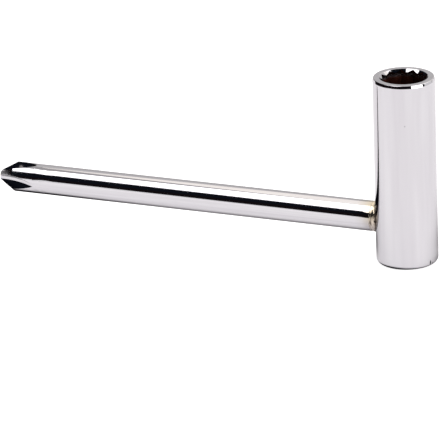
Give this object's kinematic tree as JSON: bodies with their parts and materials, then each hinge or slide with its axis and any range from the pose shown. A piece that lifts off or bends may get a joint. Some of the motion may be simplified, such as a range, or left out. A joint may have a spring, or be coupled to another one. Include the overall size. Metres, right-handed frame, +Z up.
{
  "type": "truss rod wrench",
  "caption": "Chrome plated truss rod wrench: an upright barrel with a double hexagon nut socket, brazed at its side to a round handle rod that ends in a cross driver tip.",
  "frame": {"origin": "middle of the barrel's flat foot, on the surface that it stands on", "axes": "+Z up along the barrel's axis and out of the socket's mouth, -X along the handle rod to the driver tip, +Y to the back"},
  "size_m": [0.0931, 0.0122, 0.0379],
  "materials": {
    "barrel_chrome": "bright chrome plate over turned and polished steel, bare dark steel inside the socket",
    "rod_chrome": "bright chrome plate over drawn steel rod",
    "braze_brass": "brass braze, as flowed, heat tinted and thinly plated"
  },
  "bodies": {
    "root": {"socket_barrel": "barrel_chrome", "handle_rod": "rod_chrome", "braze_ring": "braze_brass"}
  },
  "joints": []
}
